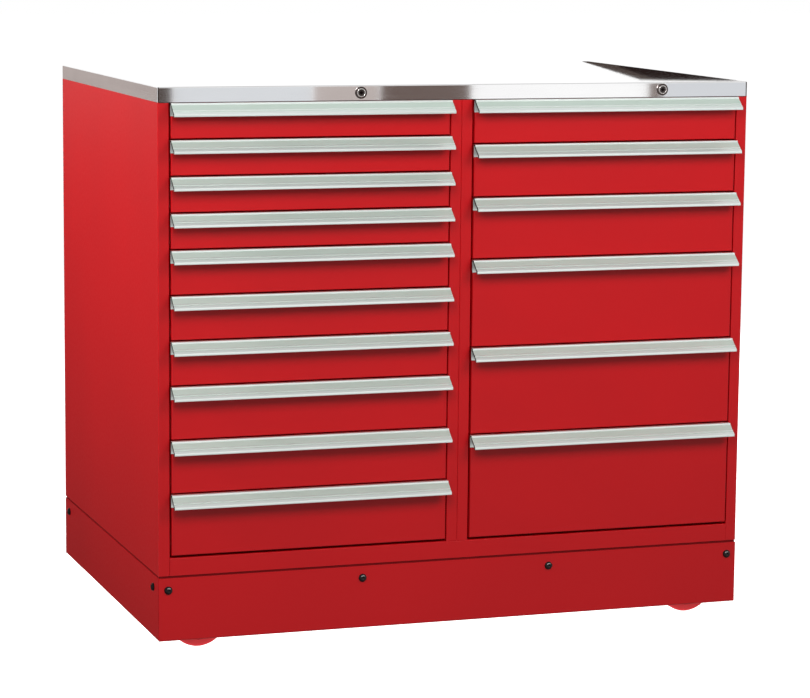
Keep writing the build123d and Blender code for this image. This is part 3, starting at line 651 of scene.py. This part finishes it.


# The bezel and the plug are a dark nickel and the ring a bright one: painted reflection
dress(plated("nickel_bezel_painted_dark_reflection", ("#4B4240", "#6A605D"), (0.15, 0.3)), "chrome", "lock_barrels")
dress(plated("nickel_plug_painted_dark_reflection", ("#3A3433", "#57504E"), (0.2, 0.35)), "chrome", "left_lock_plug",
      "right_lock_plug")
ring_metal = plated("nickel_ring_painted_bright_reflection", ("#B9B3B0", "#D5D0CE"), (0.12, 0.25))
recess_painted_shade = plated("almond_painted_recess_shade", ("#0E0B0B", "#1F1A19"), (0.3, 0.45))
bezel_low, bezel_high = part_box("lock_barrels")
bezel_reach = (bezel_high.z - bezel_low.z) / 2
lock_z = (bezel_high.z + bezel_low.z) / 2
for side, lock_x in (("left", bezel_low.x + bezel_reach), ("right", bezel_high.x - bezel_reach)):
    ring_shape = lathe(ring_profile, (lock_x, bezel_low.y, lock_z), ring_steps)
    ring_mesh = finish_mesh(side + "_lock_ring", ring_shape, smooth=True)
    link(side + "_lock_ring", ring_mesh, "cabinet", "chrome", ring_metal)
    # A near black almond sheet on the plug: painted shade for the recess round the keyway
    almond = []
    for step in range(almond_steps):
        angle = 2 * math.pi * step / almond_steps
        almond.append((lock_x + recess_reach * math.cos(angle), lock_z + recess_rise * math.sin(angle) ** 3))
    recess_shape = prism([[(x, bezel_low.y + depth, z) for x, z in almond]
                          for depth in (-recess_proud, recess_proud)])
    recess_mesh = finish_mesh(side + "_lock_almond_painted_shade", recess_shape)
    link(side + "_lock_almond_painted_shade", recess_mesh, side + "_lock_plug", "chrome", recess_painted_shade)


# Studio
# A white floor that runs on past the picture in a bright, even room. Softboxes light the front from both
# sides, the left side and the back, and white and grey cards are hung where polished metal mirrors them.
floor_reach = 40.0


def rectangle(low_x, high_x, low_y, high_y, level):
    """The corners of a level sheet."""
    return [(low_x, low_y, level), (high_x, low_y, level), (high_x, high_y, level), (low_x, high_y, level)]


def flat_piece(name, corners, paint_colour, glow_colour, glow):
    """A flat sheet of the set, through its corners, with a paint and a glow of its own."""
    mesh = bpy.data.meshes.new(name)
    mesh.from_pydata(corners, [], [tuple(range(len(corners)))])
    sheet = bpy.data.objects.new(name, mesh)
    scene.collection.objects.link(sheet)
    paint, *_ = start_material(name, Base_Color=linear(paint_colour), Specular_IOR_Level=0.0, Roughness=1.0,
                               Emission_Color=linear(glow_colour), Emission_Strength=glow)
    mesh.materials.append(paint)
    return sheet


def only_for(kind, sheet):
    """Hide a sheet from all rays but one kind, either those of gloss or those of matt surfaces."""
    for ray in ("camera", "diffuse", "glossy", "shadow", "transmission", "volume_scatter"):
        setattr(sheet, "visible_" + ray, ray == kind)


floor = flat_piece("floor", rectangle(-floor_reach, floor_reach, -floor_reach, floor_reach, 0),
                   "#F7F7F7", "#FFFFFF", 0.99)
floor.visible_diffuse = False
floor.visible_glossy = False

# Sheets that only matt surfaces see: what the floor throws back. The floor beside the left side has none, so
# that this side darkens downwards, and the sheet under the cabinet is brighter, for the wheels
side_face = -0.69
shade_left = -1.5
shade_near, shade_far = -0.5, 0.5
under_side, under_front, under_rear = 0.64, -0.435, 0.465
open_glow, under_sheet_glow = 0.38, 1.1
sheet_lift = 1 * mm
bounces = (
    ("floor_bounce_far_left", -floor_reach, shade_left, -floor_reach, floor_reach, -sheet_lift, open_glow),
    ("floor_bounce_front_left", shade_left, side_face, -floor_reach, shade_near, -sheet_lift, open_glow),
    ("floor_bounce_rear_left", shade_left, side_face, shade_far, floor_reach, -sheet_lift, open_glow),
    ("floor_bounce_right", side_face, floor_reach, -floor_reach, floor_reach, -sheet_lift, open_glow),
    ("floor_bounce_under", -under_side, under_side, under_front, under_rear, sheet_lift, under_sheet_glow),
)
for name, *sides, glow in bounces:
    only_for("diffuse", flat_piece(name, rectangle(*sides), "#000000", "#FFFFFF", glow))

# The room: white for the camera, bright at the horizon for gloss, and nearly dark for matt surfaces
horizon_glow = 1.08
ceiling_glow, ceiling_height = 0.62, 0.9
under_glow, under_height = 0.4, -0.5
soft_glow = 0.05
world = bpy.data.worlds.new("studio")
scene.world = world
world.use_nodes = True
room = world.node_tree
room.nodes.clear()
way = add(room, "ShaderNodeTexCoord").outputs["Generated"]
height = add(room, "ShaderNodeSeparateXYZ", (), {"Vector": way}).outputs["Z"]
upper = add(room, "ShaderNodeMapRange", {"From Min": 0.0, "From Max": ceiling_height,
                                         "To Min": horizon_glow, "To Max": ceiling_glow}, {"Value": height})
lower = add(room, "ShaderNodeMapRange", {"From Min": under_height, "From Max": 0.0, "To Min": 0.0,
                                         "To Max": 1.0}, {"Value": height})
strength = add(room, "ShaderNodeMix", {"A": under_glow}, {"Factor": lower.outputs["Result"],
                                                          "B": upper.outputs["Result"]})
glossy = add(room, "ShaderNodeBackground", {"Color": linear("#FFFFFF")},
             {"Strength": strength.outputs["Result"]})
soft = add(room, "ShaderNodeBackground", {"Color": linear("#FFFFFF"), "Strength": soft_glow})
white = add(room, "ShaderNodeBackground", {"Color": linear("#FFFFFF"), "Strength": 1.0})
path = add(room, "ShaderNodeLightPath")
lighting = add(room, "ShaderNodeMixShader", (), {0: path.outputs["Is Glossy Ray"],
                                                 1: soft.outputs["Background"],
                                                 2: glossy.outputs["Background"]})
both = add(room, "ShaderNodeMixShader", (), {0: path.outputs["Is Camera Ray"], 1: lighting.outputs["Shader"],
                                             2: white.outputs["Background"]})
add(room, "ShaderNodeOutputWorld", (), {"Surface": both.outputs["Shader"]})


def softbox(name, place, target, size, power, spread=180):
    """A large soft light that faces a point, with a honeycomb grid where its spread is under 180 degrees."""
    light = bpy.data.objects.new(name, bpy.data.lights.new(name, "AREA"))
    light.data.shape = "RECTANGLE"
    light.data.size, light.data.size_y = size
    light.data.energy = power
    light.data.spread = math.radians(spread)
    light.visible_glossy = False
    light.location = place
    light.rotation_euler = (Vector(target) - Vector(place)).to_track_quat("-Z", "Y").to_euler()
    scene.collection.objects.link(light)
    return light


softbox("key_light", (-1.3, -2.6, 2.2), (-0.3, -0.4, 1.0), (1.2, 1.2), 38)
softbox("fill_light", (1.3, -2.6, 2.2), (0.3, -0.4, 1.0), (1.2, 1.2), 36)
softbox("side_light", (-3.2, 0.0, 1.9), (-0.7, 0.0, 1.0), (2.4, 0.6), 12, 60)
softbox("back_light", (2.6, 2.8, 2.4), (0.3, 0.4, 0.7), (2.0, 2.0), 110)

# A softbox that only the screws see: the pale spot near the top of each head
screw_light = softbox("screw_light", (0.9, -3.4, 2.0), (0.0, -0.45, 0.15), (4.4, 1.8), 1300)
screw_light.visible_glossy = True
screw_light.visible_camera = False
screw_light.data.diffuse_factor = 0.0
lit_screws = bpy.data.collections.new("lit_screws")
lit_screws.objects.link(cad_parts["skirt_screws"])
screw_light.light_linking.receiver_collection = lit_screws

# Upright cards that only gloss sees. The first is small and bright, high in front: the highlight on the
# screws and the lock rings. The next seven are what the worktop's front edge shows from left to right. The
# last two stand at the left rear, the upper one for the worktop's left edge and the lower one for the paint
sparkle_y, front_y, rear_y = -4.5, -1.4, 5.0
row_low, row_high = 0.95, 1.32
cards = (
    ("card_sparkle", -1.1, -0.6, 2.2, 3.4, sparkle_y, "#FFFFFF", 48.0),
    ("card_far_left", -1.4, -0.39, row_low, row_high, front_y, "#4F4440", 1.0),
    ("card_left", -0.385, -0.04, row_low, row_high, front_y, "#DEE1E4", 1.0),
    ("card_middle", -0.035, 0.13, row_low, row_high, front_y, "#C0B5B1", 1.0),
    ("card_dark", 0.135, 0.37, row_low, row_high, front_y, "#6A5B56", 1.0),
    ("card_bright", 0.375, 0.845, row_low, row_high, front_y, "#FFFFFF", 1.0),
    ("card_slot", 0.85, 0.885, row_low, row_high, front_y, "#75655F", 1.0),
    ("card_right", 0.89, 2.0, row_low, row_high, front_y, "#D8DBDF", 1.0),
    ("card_side", -4.0, -0.8, 0.81, 1.5, rear_y, "#B5A9A5", 1.0),
    ("card_side_low", -5.0, -0.8, -4.0, 0.8, rear_y, "#514745", 1.0),
)
for name, from_x, to_x, low_z, high_z, y, colour, glow in cards:
    only_for("glossy", flat_piece(name, [(from_x, y, low_z), (to_x, y, low_z), (to_x, y, high_z),
                                         (from_x, y, high_z)], "#000000", colour, glow))

# Cards at the right rear: the dark wedge at the worktop's right end, darkest in its middle
wedge_y = 0.62
wedge_gap = 1 * mm
wedge_brown = ((0.707, 1.213), (0.871, 1.261), (0.930, 1.263), (1.116, 1.266), (1.184, 1.264), (1.183, 1.238),
               (0.757, 1.210))
wedge_dark = ((0.807, 1.227), (0.902, 1.257), (0.935, 1.262), (1.036, 1.264), (1.104, 1.265), (1.164, 1.259),
              (1.163, 1.238), (0.867, 1.216))
for name, outline, y, colour in (("card_wedge_brown", wedge_brown, wedge_y + wedge_gap, "#4A403C"),
                                 ("card_wedge_dark", wedge_dark, wedge_y, "#261C1B")):
    only_for("glossy", flat_piece(name, [(x, y, z) for x, z in outline], "#000000", colour, 1.0))
